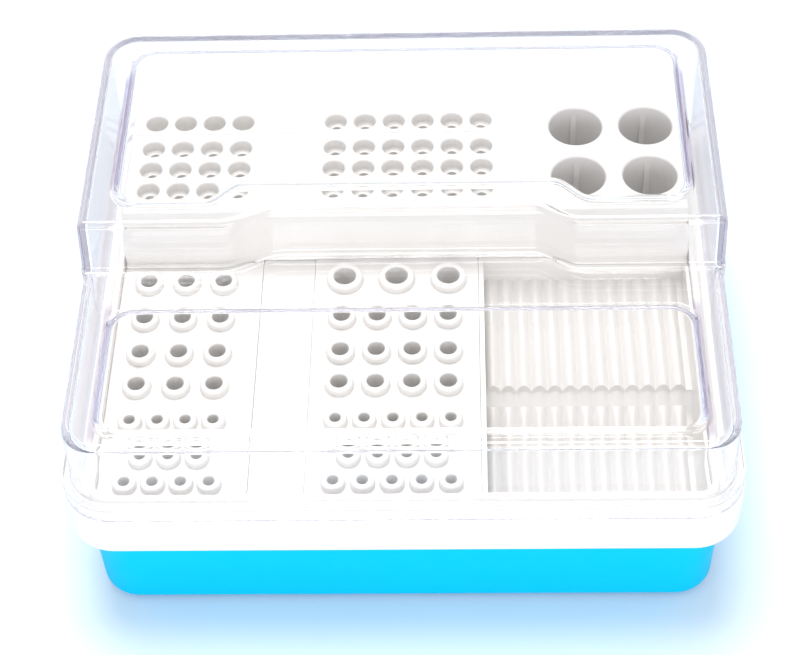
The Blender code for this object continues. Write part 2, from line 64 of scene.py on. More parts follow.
# Heights and plan places that come from the frame.
BASE_LOW, BASE_HIGH = cad("base_tray")
RIM_LOW, RIM_HIGH = cad("rack_frame")
DECK_LOW, DECK_HIGH = cad("rear_deck")
LEFT_LOW, LEFT_HIGH = cad("front_left_block")
STRIP_LOW, STRIP_HIGH = cad("centre_strip")
CENTRE_LOW, CENTRE_HIGH = cad("front_centre_block")
TRAY_LOW, TRAY_HIGH = cad("ribbed_tray")
COVER_LOW, COVER_HIGH = cad("clear_cover")
DECK_TOP = DECK_HIGH.z
COLLAR_TOP = LEFT_HIGH.z
FLOOR_TOP = TRAY_HIGH.z
FLANGE_GAP = 0.7
RIM_TOP = COVER_LOW.z - FLANGE_GAP
CURB_TOP = RIM_HIGH.z

# The blue base tray and its feet.
BASE_DRAFT = 0.7
BASE_CORNER = 12.0
BASE_FILLET = 3.2
BASE_LIP = 0.5
BASE_WALL = 2.0
BASE_FLOOR = 2.4
BASE_INNER_FILLET = 3.0
FOOT_RADIUS = 5.0
FOOT_HEIGHT = 2.0
FOOT_EDGE = 0.6
POCKET_RADIUS = 5.3
POCKET_TOP = 2.3
FOOT_SIDES = 32

# The white rack's rim, the curb inside the cover, and the frame under them. The rim's side stands
# RIM_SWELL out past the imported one.
RIM_CORNER = 14.5
RIM_SWELL = 0.45
RIM_FOOT_EDGE = 1.1
RIM_TOP_EDGE = 0.9
CURB_HALF = (93.2, 75.6)
CURB_CORNER = 7.2
CURB_EDGE = 0.7
OPENING_HALF = (91.0, 74.0)
OPENING_CORNER = 5.0
SKIRT_WALL = 4.0
CURB_WALL = 1.6
LEDGE_TOP = 36.2
GROOVE_TOP = 44.4
WINDOW_X = 89.8
WINDOW_CORNER = 1.0
WINDOW_TOP = 37.0

# The cover.
COVER_WALL = 2.4
COVER_HALF = (96.85, 79.0)
COVER_CORNER = 11.0
COVER_DRAFT = 0.022
HIGH_HALF = (97.3, 79.2)
FLANGE_HALF = (100.3, 82.6)
FLANGE_CORNER = 14.8
FLANGE_TOP = 56.2
FLANGE_EDGE = 0.8
PANEL_RISE = 1.8
LOW_TOP = 79.8
HIGH_TOP = COVER_HIGH.z - PANEL_RISE
TOP_FILLET = 2.3
RISER_FOOT_Y = -10.4
RISER_SLOPE = 0.19
RISER_CORNER = 1.6
RISER_FILLET = 1.6
LEAST_CORNER = 0.4
SCOOP_LEFT = (-55.0, -35.5)
SCOOP_RIGHT = (53.5, 39.5)
SCOOP_DEPTH = 6.7
PANEL_SCOOP_LEFT = (-59.0, -48.0)
PANEL_SCOOP_RIGHT = (57.0, 45.5)
PANEL_SCOOP_DEPTH = 7.5
PANEL_OUTER = (1.0, 1.2)
PANEL_INNER = (1.6, 1.6)
PANEL_HALF_X = 87.4
PANEL_CORNER = 7.0
HIGH_PANEL_Y = (0.4, 70.3)
LOW_PANEL_Y = (-74.4, -26.5)

# Rear deck and its wells.
DECK_EDGE = 1.3
DECK_FLARE = 1.3
DECK_CORNER = 4.0
DECK_FRONT_CORNER = 0.8
DECK_LEAST_CORNER = 0.2
DECK_WALL = 1.4
DECK_SKIN = 3.0
PAD_MARGIN = 6
PAD_Y = (24.0, 66.8)
PAD_CORNER = 3.0
PAD_DEPTH = 13
WELL_PITCH = 9.5
WELL_RADIUS = 3.5
WELL_LIP = 0.8
WELL_DEPTH = 4.2
WELL_HOLE_RADIUS = 1.75
WELL_HOLE_DEPTH = 9.5
PLAIN_WELL_DEPTH = 6.5
WELL_FLOOR_EDGE = 0.9
LEFT_WELLS_X = -81.75
CENTRE_WELLS_X = -22.75
REAR_ROWS_Y = (60.3, 48.3, 38.8, 29.4)
SEAM_Y = 54.6
SEAM_END_X = 45.0
SEAM_DEPTH = 0.15
TUBE_X = (55.6, 78.35)
TUBE_Y = (34.2, 56.85)
TUBE_RADIUS = 8.6
TUBE_LIP = 1.05
CUP_WALL = 0.9
CUP_DROP = 2.95
CUP_FLOOR = 1.0
CUP_FLAT_RADIUS = 2.0
CUP_FILLET = 6.0
CUP_INNER_FILLET = 5.4
RIB_START = 4.6
RIB_HALF = 0.95
RIB_ROOT = 0.45
ROUND_SIDES = 64

# Front sockets: (first x, pitch, count, y) under (hole radius, collar radius).
LEFT_SOCKETS = {
    (2.6, 4.5): [(-82.1, 12.0, 3, y) for y in (9.1, -6.1, -20.1, -33.0)],
    (1.65, 3.7): [(-82.8, 8.47, 4, -46.9), (-78.5, 8.5, 3, -58.4), (-82.3, 8.4, 4, -68.0)],
}
CENTRE_SOCKETS = {
    (3.55, 5.75): [(-19.3, 16.55, 3, 10.4)],
    (2.6, 4.5): [(-19.8, 11.17, 4, y) for y in (-5.8, -19.8, -32.6)],
    (1.65, 3.7): [(-20.5, 8.73, 5, -46.7), (-16.2, 8.73, 4, -58.3), (-20.5, 8.73, 5, -67.9)],
}
SOCKET_DEPTH = 14.8
SOCKET_LIP = 0.6
COLLAR_EDGE = 1.0
COLLAR_FLARE = 0.1
SEAM = 0.12
WALL_GAP = 0.25
BLOCK_EDGE = 0.22
BLOCK_CORNER = 0.9
RACK_FRONT_CORNER = 4.7

# The ribbed tray's floor from rear to front, as (y, z, share of the ribs' height).
TROUGH = [
    (19.0, 39.4, 0.5),
    (1.2, 35.6, 0.7),
    (0.8, 37.4, 1.0),
    (-23.8, 38.0, 1.0),
    (-25.2, 38.0, 1.0),
    (-25.5, 36.4, 0.3),
    (-28.6, 33.0, 0.0),
    (-30.2, 32.2, 0.8),
    (-42.5, 27.2, 1.0),
    (-71.3, 27.0, 1.0),
]
TROUGH_X = (25.1, 89.7)
TROUGH_UNDER_X = (25.7, 89.4)
TROUGH_SKIN = 2.2
TROUGH_STEP_Y = (-30, -22)
RIB_COUNT = 13
RIB_PITCH = 4.83
RIB_HEIGHT = 1.4
RIB_COLUMNS = 10
TRAY_FRONT_LIP = 1.4
TRAY_LIP_UNDERSIDE = 36.5

# Looks: colours are linear RGB, and texture scales are per metre.
WHITE_COLOURS = ((0.77, 0.75, 0.715), (0.79, 0.77, 0.74))
BLUE_COLOURS = ((0.0, 0.49, 0.80), (0.0, 0.505, 0.82))
RUBBER_COLOURS = ((0.05, 0.05, 0.055), (0.07, 0.07, 0.07))
FLOOR_COLOURS = ((0.79, 0.88, 0.97), (0.80, 0.89, 0.97))
DRIFT_SCALE = 22.0
GLOSS_SCALE = 90.0
GRAIN_SCALE = 2600.0
GRAIN_HEIGHT = 0.00005
COAT_ROUGHNESS = 0.08
CLEAR_IOR = 1.5
HAZE_SCALE = 60.0
HAZE_ROUGHNESS = 0.015
WARP_SCALE = 70.0
WARP_HEIGHT = 0.0004
WARP_STRENGTH = 0.03
THROUGH_COLOUR = (0.97, 0.97, 0.98)
CLOUD_COLOUR = (0.72, 0.70, 0.78)
CLOUD_AMOUNT = 0.7
CLOUD_POWER = 3.0
TINT_COLOUR = (0.66, 0.64, 0.705)
TINT_DENSITY = 15.0

# Painted shade: a darker violet tint painted into the glass's colour along the upright sides of the raised
# panels, standing in for the dark bands that refraction makes where the plastic is seen edge on. It fades,
# from full to gone, with the distance across from the side, with the height, and with the distance along
# from a panel's middle, which lies SIDE_MIDDLE in front of or behind the riser.
PAINTED_SIDE_SHADE = (0.76, 0.725, 0.80)
SIDE_REACH = (0.7, 1.7)
SIDE_LEVEL = (79.0, 77.0)
SIDE_RISER_Y = -8.5
SIDE_MIDDLE = 42.0
SIDE_LENGTH = (22.5, 27.5)

# Studio: (name, place, size, power) of each lamp in metres and watts, and the camera, whose turn is
# (pitch, yaw, roll) in degrees.
LAMPS = (
    ("key_light", (-0.08, 0.32, 1.25), 0.82, 13.0),
    ("front_light", (0.1, -1.3, 0.35), 1.0, 9.0),
)
LAMP_TARGET = (0.0, 0.0, 0.05)
SKY_COLOUR = (0.97, 0.98, 1.0)
SKY_STRENGTH = 0.77
FLOOR_HALF = 6.0
CAMERA_PLACE = (0.01719, -0.40801, 0.51836)
CAMERA_TURN = (49.546, -2.723, -2.582)
CAMERA_LENS = 88.31
CAMERA_SENSOR = 36.0
CAMERA_NEAR = 0.01
BOUNCES = 96
CLEAR_BOUNCES = 24


# Meshes.


def rounded_rectangle(x_low, x_high, y_low, y_high, radius, steps=CORNER_STEPS):
    """Plan outline as (x, y), anticlockwise from the front right corner. Radius is one value or four."""
    radii = radius if isinstance(radius, tuple) else (radius,) * 4
    corners = (
        (x_high, y_low, -1, 1),
        (x_high, y_high, -1, -1),
        (x_low, y_high, 1, -1),
        (x_low, y_low, 1, 1),
    )
    points = []
    for turn, (x, y, side_x, side_y) in enumerate(corners):
        r = radii[turn]
        for step in range(steps + 1):
            angle = math.radians(90 * (turn - 1 + step / steps))
            points.append((x + side_x * r + r * math.cos(angle), y + side_y * r + r * math.sin(angle)))
    return points


def centred(half_x, half_y, radius):
    """Rounded rectangle about the middle of the plan."""
    return rounded_rectangle(-half_x, half_x, -half_y, half_y, radius)


def scooped(points, left, right, depth, steps=12):
    """The outline with its front edge set back by depth between left and right, each (foot x, flat x)."""
    front = min(y for _, y in points)
    extra = []
    for start, end, back in ((left[0], left[1], False), (right[1], right[0], True)):
        for step in range(steps + 1):
            share = step / steps
            rise = 0.5 - 0.5 * math.cos(math.pi * share)
            extra.append((start + (end - start) * share, front + depth * (1 - rise if back else rise)))
    return points + extra


def offset(points, distance):
    """The outline moved out along its own normals by distance (in, if it is negative)."""
    moved = []
    count = len(points)
    for i, (x, y) in enumerate(points):
        before = Vector(points[i - 1])
        after = Vector(points[(i + 1) % count])
        here = Vector((x, y))
        one = (here - before).normalized()
        two = (after - here).normalized()
        tangent = (one + two).normalized()
        stretch = 1 / max(0.5, tangent.dot(one))
        moved.append((x + tangent.y * distance * stretch, y - tangent.x * distance * stretch))
    return moved


def arc(centre_out, centre_z, radius, start, end, steps=FILLET_STEPS):
    """Profile points (out, z) on an arc; angles in degrees, 0 outwards and 90 upwards."""
    points = []
    for step in range(steps + 1):
        angle = math.radians(start + (end - start) * step / steps)
        points.append((centre_out + radius * math.cos(angle), centre_z + radius * math.sin(angle)))
    return points


def loft(rings):
    """Closed solid through rings of (x, y, z) from bottom to top, with flat ends."""
    bm = bmesh.new()
    loops = [[bm.verts.new(point) for point in ring] for ring in rings]
    for low, high in zip(loops, loops[1:]):
        for i in range(len(low)):
            j = (i + 1) % len(low)
            bm.faces.new((low[i], low[j], high[j], high[i]))
    bm.faces.new(list(reversed(loops[0])))
    bm.faces.new(loops[-1])
    return bm


def moulding(outline, profile):
    """Solid with a plan outline and an edge profile of (out, z) points from bottom to top."""
    return loft([[(x, y, z) for x, y in offset(outline, out)] for out, z in profile])


def prism(outline, low, high):
    """Plain upright solid over an outline."""
    return moulding(outline, [(0.0, low), (0.0, high)])


def slab(outline, low, high, edge):
    """Upright moulding with a rounded top edge."""
    return moulding(outline, [(0.0, low)] + arc(-edge, high - edge, edge, 0, 90))


def turned(profile, sides, centre):
    """Solid of revolution about Z from (radius, z) points, bottom to top; both ends are flat."""
    rings = []
    for radius, z in profile:
        ring = []
        for step in range(sides):
            angle = math.tau * (step + 0.5) / sides
            ring.append((centre[0] + radius * math.cos(angle), centre[1] + radius * math.sin(angle), z))
        rings.append(ring)
    return loft(rings)


def together(shapes):
    """Several separate bmeshes as one."""
    whole = bmesh.new()
    for shape in shapes:
        mesh = bpy.data.meshes.new("part")
        shape.to_mesh(mesh)
        shape.free()
        whole.from_mesh(mesh)
        bpy.data.meshes.remove(mesh)
    return whole


def helper(bm):
    """A bmesh as an object that faces outwards, for a Boolean."""
    mesh = bpy.data.meshes.new("helper")
    bmesh.ops.recalc_face_normals(bm, faces=bm.faces)
    if bm.calc_volume(signed=True) < 0:
        bmesh.ops.reverse_faces(bm, faces=bm.faces)
    bm.to_mesh(mesh)
    bm.free()
    obj = bpy.data.objects.new("helper", mesh)
    bpy.context.scene.collection.objects.link(obj)
    return obj


def combine(base, *steps):
    """The bmesh that is left after each (operation, bmesh) step, by exact Booleans."""
    body = helper(base)
    tools = []
    for operation, shape in steps:
        tool = helper(shape)
        tools.append(tool)
        modifier = body.modifiers.new(operation, "BOOLEAN")
        modifier.operation = operation
        modifier.solver = "EXACT"
        modifier.object = tool
    bpy.context.view_layer.update()
    evaluated = body.evaluated_get(bpy.context.evaluated_depsgraph_get())
    mesh = bpy.data.meshes.new_from_object(evaluated)
    for obj in (body, *tools):
        bpy.data.objects.remove(obj, do_unlink=True)
    bm = bmesh.new()
    bm.from_mesh(mesh)
    bpy.data.meshes.remove(mesh)
    return bm


def add_piece(name, bm, material, body, slot, *stands_for):
    """Shows a finished mesh: smooth, with flat faces kept flat, riding on its CAD body."""
    mesh = bpy.data.meshes.new(name)
    bmesh.ops.transform(bm, matrix=Matrix.Scale(MM, 4), verts=bm.verts)
    bmesh.ops.remove_doubles(bm, verts=bm.verts, dist=WELD_DISTANCE)
    bmesh.ops.recalc_face_normals(bm, faces=bm.faces)
    bm.to_mesh(mesh)
    bm.free()
    mesh.shade_smooth()
    mesh.set_sharp_from_angle(angle=SMOOTH_ANGLE)
    mesh.materials.append(material)
    piece = bpy.data.objects.new(name, mesh)
    bpy.context.scene.collection.objects.link(piece)
    weighted = piece.modifiers.new("weighted_normals", "WEIGHTED_NORMAL")
    weighted.keep_sharp = True
    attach(piece, body)
    if stands_for:
        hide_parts(*stands_for)


# Materials.


def new_material(name):
    """An empty node material, its tree and its output."""
    material = bpy.data.materials.new(name)
    material.use_nodes = True
    tree = material.node_tree
    tree.nodes.clear()
    output = tree.nodes.new("ShaderNodeOutputMaterial")
    return material, tree, output


def noise(tree, coordinates, scale, detail=3.0):
    """Procedural noise, which stays near the middle of 0 to 1."""
    texture = tree.nodes.new("ShaderNodeTexNoise")
    texture.inputs["Scale"].default_value = scale
    texture.inputs["Detail"].default_value = detail
    tree.links.new(coordinates, texture.inputs["Vector"])
    return texture.outputs["Fac"]


def ramp(tree, value, low, high):
    """A noise value spread from low to high: its usual range is 0.3 to 0.7."""
    node = tree.nodes.new("ShaderNodeMapRange")
    node.inputs["From Min"].default_value = 0.3
    node.inputs["From Max"].default_value = 0.7
    node.inputs["To Min"].default_value = low
    node.inputs["To Max"].default_value = high
    tree.links.new(value, node.inputs["Value"])
    return node.outputs["Result"]


def blend_colours(tree, value, first, second):
    """The first colour at 0 and the second at 1."""
    node = tree.nodes.new("ShaderNodeMix")
    node.data_type = "RGBA"
    node.inputs[6].default_value = (*first, 1.0)
    node.inputs[7].default_value = (*second, 1.0)
    tree.links.new(value, node.inputs[0])
    return node.outputs[2]


def add_bump(tree, shader, height, strength, distance):
    """Makes the shader's surface uneven by the height value."""
    bump = tree.nodes.new("ShaderNodeBump")
    bump.inputs["Strength"].default_value = strength
    bump.inputs["Distance"].default_value = distance
    tree.links.new(height, bump.inputs["Height"])
    tree.links.new(bump.outputs["Normal"], shader.inputs["Normal"])


def moulded_plastic(name, colours, roughness, grain, coat=0.0, specular=0.5):
    """Moulded plastic: slow colour drift, patchy gloss, and a fine mould grain in the surface."""
    material, tree, output = new_material(name)
    shader = tree.nodes.new("ShaderNodeBsdfPrincipled")
    place = tree.nodes.new("ShaderNodeTexCoord").outputs["Object"]
    drift = noise(tree, place, DRIFT_SCALE)
    tree.links.new(blend_colours(tree, drift, *colours), shader.inputs["Base Color"])
    gloss = ramp(tree, noise(tree, place, GLOSS_SCALE, 5.0), roughness * 0.85, roughness * 1.2)
    tree.links.new(gloss, shader.inputs["Roughness"])
    add_bump(tree, shader, noise(tree, place, GRAIN_SCALE, 2.0), grain, GRAIN_HEIGHT)
    shader.inputs["Coat Weight"].default_value = coat
    shader.inputs["Coat Roughness"].default_value = COAT_ROUGHNESS
    shader.inputs["Specular IOR Level"].default_value = specular
    tree.links.new(shader.outputs["BSDF"], output.inputs["Surface"])
    return material


def fade(tree, value, start, end):
    """1 where the value, in metres, is at start, easing to 0 at end; both limits are in millimetres."""
    node = tree.nodes.new("ShaderNodeMapRange")
    node.interpolation_type = "SMOOTHSTEP"
    limits = (("From Min", start * MM), ("From Max", end * MM), ("To Min", 1.0), ("To Max", 0.0))
    for key, number in limits:
        node.inputs[key].default_value = number
    tree.links.new(value, node.inputs["Value"])
    return node.outputs["Result"]


def calculate(tree, operation, first, second=0.0):
    """One step of arithmetic; each value is a number or a node's output."""
    node = tree.nodes.new("ShaderNodeMath")
    node.operation = operation
    for socket, value in zip(node.inputs, (first, second)):
        if isinstance(value, float):
            socket.default_value = value
        else:
            tree.links.new(value, socket)
    return node.outputs[0]


def mixed_shader(tree, amount, first, second):
    """The first shader at amount 0 and the second at 1."""
    node = tree.nodes.new("ShaderNodeMixShader")
    for socket, value in zip(node.inputs, (amount, first.outputs[0], second.outputs[0])):
        tree.links.new(value, socket)
    return node


def painted_side_shade_mask(tree, place):
    """Mask for the painted shade: 1 along the upright sides of the two raised panels, where the plastic is
    seen edge on.
    """
    split = tree.nodes.new("ShaderNodeSeparateXYZ")
    tree.links.new(place, split.inputs[0])

    def distance(value, middle):
        return calculate(tree, "ABSOLUTE", calculate(tree, "SUBTRACT", value, middle * MM))

    across = calculate(tree, "ABSOLUTE", split.outputs["X"])
    near = fade(tree, distance(across, PANEL_HALF_X), *SIDE_REACH)
    high = fade(tree, split.outputs["Z"], *SIDE_LEVEL)
    from_riser = distance(split.outputs["Y"], SIDE_RISER_Y)
    along = fade(tree, distance(from_riser, SIDE_MIDDLE), *SIDE_LENGTH)
    return calculate(tree, "MULTIPLY", calculate(tree, "MULTIPLY", near, high), along)


def clear_plastic(name):
    """Clear moulded plastic.

    It refracts, its thick edges gather a violet tint, the upright sides of its raised panels carry a
    painted violet shade, it clouds where it is seen at a grazing angle, and it lets light through to the
    rack.
    """
    material, tree, output = new_material(name)
    place = tree.nodes.new("ShaderNodeTexCoord").outputs["Object"]
    glass = tree.nodes.new("ShaderNodeBsdfGlass")
    glass.inputs["IOR"].default_value = CLEAR_IOR
    # Painted shade: the glass's colour is darkened with a violet tint along the panels' upright sides.
    colour = blend_colours(tree, painted_side_shade_mask(tree, place), (1.0, 1.0, 1.0), PAINTED_SIDE_SHADE)
    tree.links.new(colour, glass.inputs["Color"])
    haze = ramp(tree, noise(tree, place, HAZE_SCALE, 4.0), 0.0, HAZE_ROUGHNESS)
    tree.links.new(haze, glass.inputs["Roughness"])
    add_bump(tree, glass, noise(tree, place, WARP_SCALE, 2.0), WARP_STRENGTH, WARP_HEIGHT)
    through = tree.nodes.new("ShaderNodeBsdfTransparent")
    through.inputs["Color"].default_value = (*THROUGH_COLOUR, 1.0)
    rays = tree.nodes.new("ShaderNodeLightPath")
    either = calculate(tree, "MAXIMUM", rays.outputs["Is Shadow Ray"], rays.outputs["Is Diffuse Ray"])
    facing = tree.nodes.new("ShaderNodeLayerWeight")
    facing.inputs["Blend"].default_value = 0.5
    grazing = calculate(tree, "POWER", facing.outputs["Facing"], CLOUD_POWER)
    cloud = tree.nodes.new("ShaderNodeBsdfDiffuse")
    cloud.inputs["Color"].default_value = (*CLOUD_COLOUR, 1.0)
    surface = mixed_shader(tree, calculate(tree, "MULTIPLY", grazing, CLOUD_AMOUNT), glass, cloud)
    surface = mixed_shader(tree, either, surface, through)
    tree.links.new(surface.outputs[0], output.inputs["Surface"])
    tint = tree.nodes.new("ShaderNodeVolumeAbsorption")
    tint.inputs["Color"].default_value = (*TINT_COLOUR, 1.0)
    tint.inputs["Density"].default_value = TINT_DENSITY
    tree.links.new(tint.outputs[0], output.inputs["Volume"])
    return material


# The blue base tray and its feet.


def base_tray():
    """Hollow tray with a rounded foot, drafted walls and a rounded lip."""
    low, high = BASE_LOW.z, BASE_HIGH.z
    outline = centred(BASE_HIGH.x - BASE_DRAFT, BASE_HIGH.y - BASE_DRAFT, BASE_CORNER)
    profile = [(-BASE_FILLET, low)]
    profile += arc(-BASE_FILLET, low + BASE_FILLET, BASE_FILLET, -80, 0, 8)
    profile += arc(BASE_DRAFT - BASE_LIP, high - BASE_LIP, BASE_LIP, 0, 90)
    foot_out = -BASE_WALL - BASE_INNER_FILLET
    inner = [(foot_out, low + BASE_FLOOR)]
    inner += arc(foot_out, low + BASE_FLOOR + BASE_INNER_FILLET, BASE_INNER_FILLET, -80, 0, 6)
    inner += [(BASE_DRAFT - BASE_WALL, high + 1.0)]
    return combine(
        moulding(outline, profile),
        ("DIFFERENCE", moulding(outline, inner)),
        ("DIFFERENCE", foot_pockets()),
    )


def foot_places():
    """The middle (x, y) of each foot, by its place."""
    places = {}
    for side in ("front_left", "front_right", "rear_left", "rear_right"):
        low, high = cad("foot_" + side)
        places[side] = ((low.x + high.x) / 2, (low.y + high.y) / 2)
    return places


def foot_pockets():
    """Shallow round pockets under the tray, which the feet are pressed into."""
    profile = [(POCKET_RADIUS, -1.0), (POCKET_RADIUS, POCKET_TOP)]
    return together([turned(profile, FOOT_SIDES, place) for place in foot_places().values()])


def feet():
    """Adds the four round rubber feet."""
    profile = [(2.0, 0.0)] + arc(FOOT_RADIUS - FOOT_EDGE, FOOT_EDGE, FOOT_EDGE, -90, 0)
    profile += [(FOOT_RADIUS, FOOT_HEIGHT)]
    for side, place in foot_places().items():
        pad = turned(profile, FOOT_SIDES, place)
        add_piece("rubber_foot_" + side, pad, RUBBER, "base", "feet", "foot_" + side)


# The white rack.


def rack_frame():
    """Thick rounded rim over the tray's edge, with a curb inside the cover and a ledge for the blocks."""
    low, above = RIM_LOW.z, CURB_TOP + 10
    rim = centred(RIM_HIGH.x, RIM_HIGH.y, RIM_CORNER)
    profile = arc(-1.0, low + RIM_FOOT_EDGE, RIM_FOOT_EDGE, -90, 0)
    profile += [(0.4, low + 5.0), (RIM_SWELL, RIM_TOP - 2.0)]
    profile += arc(-0.5, RIM_TOP - RIM_TOP_EDGE, RIM_TOP_EDGE, 0, 90)
    opening = centred(*OPENING_HALF, OPENING_CORNER)
    groove = combine(
        prism(offset(rim, -SKIRT_WALL), low - 5, GROOVE_TOP),
        ("DIFFERENCE", prism(offset(opening, CURB_WALL), low - 9, above)),
    )
    front_window = rounded_rectangle(-WINDOW_X, WINDOW_X, -72.8, 13.0, WINDOW_CORNER)
    rear_window = rounded_rectangle(-88.0, WINDOW_X, 22.5, 70.0, WINDOW_CORNER)
    tray_window = rounded_rectangle(TRAY_LOW.x - 1, 90.9, -72.0, 20.0, WINDOW_CORNER)
    return combine(
        moulding(rim, profile),
        ("UNION", slab(centred(*CURB_HALF, CURB_CORNER), RIM_TOP - 2, CURB_TOP, CURB_EDGE)),
        ("DIFFERENCE", prism(opening, LEDGE_TOP, above)),
        ("DIFFERENCE", groove),
        ("DIFFERENCE", prism(front_window, low - 5, WINDOW_TOP)),
        ("DIFFERENCE", prism(rear_window, low - 5, WINDOW_TOP)),
        ("DIFFERENCE", prism(tray_window, low - 6, WINDOW_TOP + 1)),
    )


def grid(first_x, pitch, count, rows):
    """Places (x, y) along each row."""
    return [(first_x + pitch * i, y) for y in rows for i in range(count)]


def lip_profile(radius, top, lip):
    """The rounded lip of a round hole, then a way out above it."""
    profile = []
    for degrees in (0, 20, 40, 60, 76, 90):
        angle = math.radians(degrees)
        profile.append((radius + lip * (1 - math.cos(angle)), top - lip * (1 - math.sin(angle))))
    return profile + [(radius + lip, top + 2.0)]


def well_cutter(place, radius, top, depth, lip, hole=None, sides=32):
    """A round well with a rounded lip and floor edge. Hole is (radius, depth) of a hole in its floor."""
    floor = top - depth
    if hole:
        hole_radius, hole_depth = hole
        profile = [(hole_radius, top - hole_depth), (hole_radius, floor - 0.15)]
        profile += [(hole_radius + 0.25, floor)]
    else:
        profile = [(radius * 0.3, floor)]
    profile += arc(radius - WELL_FLOOR_EDGE, floor + WELL_FLOOR_EDGE, WELL_FLOOR_EDGE, -75, 0)
    return turned(profile + lip_profile(radius, top, lip), sides, place)


def deck_wells():
    """Cutters for the stepped wells, the plain wells of the rear row and the four tube holes."""
    plain = grid(LEFT_WELLS_X, WELL_PITCH, 4, REAR_ROWS_Y[:1])
    stepped = grid(LEFT_WELLS_X, WELL_PITCH, 4, REAR_ROWS_Y[1:])
    stepped += grid(CENTRE_WELLS_X, WELL_PITCH, 6, REAR_ROWS_Y)
    hole = (WELL_HOLE_RADIUS, WELL_HOLE_DEPTH)
    wells = [well_cutter(place, WELL_RADIUS, DECK_TOP, PLAIN_WELL_DEPTH, WELL_LIP) for place in plain]
    for place in stepped:
        wells.append(well_cutter(place, WELL_RADIUS, DECK_TOP, WELL_DEPTH, WELL_LIP, hole))
    tube_hole = [(TUBE_RADIUS, DECK_TOP - 8)] + lip_profile(TUBE_RADIUS, DECK_TOP, TUBE_LIP)
    wells += [turned(tube_hole, ROUND_SIDES, (x, y)) for x in TUBE_X for y in TUBE_Y]
    return together(wells)


def rear_deck():
    """High deck with stepped wells in two groups, four plain wells and four large tube holes."""
    low_x, high_x = DECK_LOW.x, DECK_HIGH.x
    low_y, high_y = DECK_LOW.y, DECK_HIGH.y
    bottom = DECK_LOW.z
    levels = [(DECK_FLARE, 0.0, bottom), (DECK_FLARE, 0.0, CURB_TOP)]
    levels += [(0.0, out, z) for out, z in arc(-DECK_EDGE, DECK_TOP - DECK_EDGE, DECK_EDGE, 0, 90)]
    rings = []
    for flare, out, z in levels:
        x = low_x - flare - out
        front = max(DECK_FRONT_CORNER + out, DECK_LEAST_CORNER)
        radii = (front, DECK_CORNER + out, DECK_CORNER + out, front)
        rings.append([(*point, z) for point in rounded_rectangle(x, -x, low_y - out, high_y + out, radii)])
    wall = DECK_WALL
    hollow = rounded_rectangle(low_x + wall, high_x - wall, low_y + wall, high_y - wall, 1.5)
    pads = []
    for first_x, count in ((LEFT_WELLS_X, 4), (CENTRE_WELLS_X, 6)):
        last_x = first_x + WELL_PITCH * (count - 1)
        pad = rounded_rectangle(first_x - PAD_MARGIN, last_x + PAD_MARGIN, *PAD_Y, PAD_CORNER)
        pads.append(prism(pad, DECK_TOP - PAD_DEPTH, DECK_TOP - 1.5))
    seam = rounded_rectangle(low_x + 2.0, SEAM_END_X, SEAM_Y - SEAM, SEAM_Y + SEAM, 0.1, 2)
    return combine(
        loft(rings),
        ("DIFFERENCE", prism(hollow, bottom - 2, DECK_TOP - DECK_SKIN)),
        ("UNION", together(pads)),
        ("DIFFERENCE", deck_wells()),
        ("DIFFERENCE", prism(seam, DECK_TOP - SEAM_DEPTH, DECK_TOP + 1)),
    )


def tube_cup(x, y, low):
    """Deep cup with a rounded floor and one upright rib on its rear wall."""
    radius = TUBE_RADIUS
    top = DECK_TOP - CUP_DROP
    outside = [(CUP_FLAT_RADIUS, low)]
    outside += arc(radius + CUP_WALL - CUP_FILLET, low + CUP_FILLET, CUP_FILLET, -80, 0, 8)
    outside += [(radius + CUP_WALL, top)]
    floor = low + CUP_FLOOR
    inside = [(CUP_FLAT_RADIUS, floor)]
    inside += arc(radius - CUP_INNER_FILLET, floor + CUP_INNER_FILLET, CUP_INNER_FILLET, -80, 0, 8)
    inside += [(radius, top + 1)]

    # The rib's depth at each height. It runs out into the wall just under the deck.
    rib_top = DECK_TOP - RIB_START
    rings = []
    for depth, z in ((1.3, low + 3), (1.2, DECK_TOP - 12), (0.6, rib_top), (0.0, rib_top + 1.2)):
        y_range = (y + radius - depth, y + radius + RIB_ROOT)
        ring = rounded_rectangle(x - RIB_HALF, x + RIB_HALF, *y_range, 0.2, 4)
        rings.append([(*point, z) for point in ring])
    return combine(
        turned(outside, ROUND_SIDES, (x, y)),
        ("DIFFERENCE", turned(inside, ROUND_SIDES, (x, y))),
        ("UNION", loft(rings)),
    )


def tube_cups():
    """Adds the four cups under the tube holes."""
    for row, y in zip(("front", "rear"), TUBE_Y):
        for side, x in zip(("left", "right"), TUBE_X):
            node = f"tube_cup_{row}_{side}"
            low = cad(node)[0].z
            add_piece(f"deep_cup_{row}_{side}", tube_cup(x, y, low), WHITE, "rack", "white_rack", node)


def socket_block(low, high, corner, left_gap, groups):
    """Low block with collared sockets in rows. Corner is the radius of its front left corner."""
    x_low, y_low = low.x - left_gap, low.y - WALL_GAP
    radii = (BLOCK_CORNER, BLOCK_CORNER, BLOCK_CORNER, corner)
    outline = rounded_rectangle(x_low, high.x + SEAM, y_low, high.y + SEAM, radii)
    block = slab(outline, low.z, FLOOR_TOP, BLOCK_EDGE)
    collars = []
    holes = []
    for (hole, collar), rows in groups.items():
        edge = min(COLLAR_EDGE, (collar - hole - SOCKET_LIP) * 0.8)
        foot = collar + COLLAR_FLARE
        profile = [(foot, FLOOR_TOP - 1.0), (foot, FLOOR_TOP + 0.05), (collar, FLOOR_TOP + 0.25)]
        profile += arc(collar - edge, COLLAR_TOP - edge, edge, 0, 90)
        for first_x, pitch, count, y in rows:
            for place in grid(first_x, pitch, count, (y,)):
                collars.append(turned(profile, 40, place))
                holes.append(well_cutter(place, hole, COLLAR_TOP, SOCKET_DEPTH, SOCKET_LIP, sides=36))
    return combine(block, ("UNION", together(collars)), ("DIFFERENCE", together(holes)))


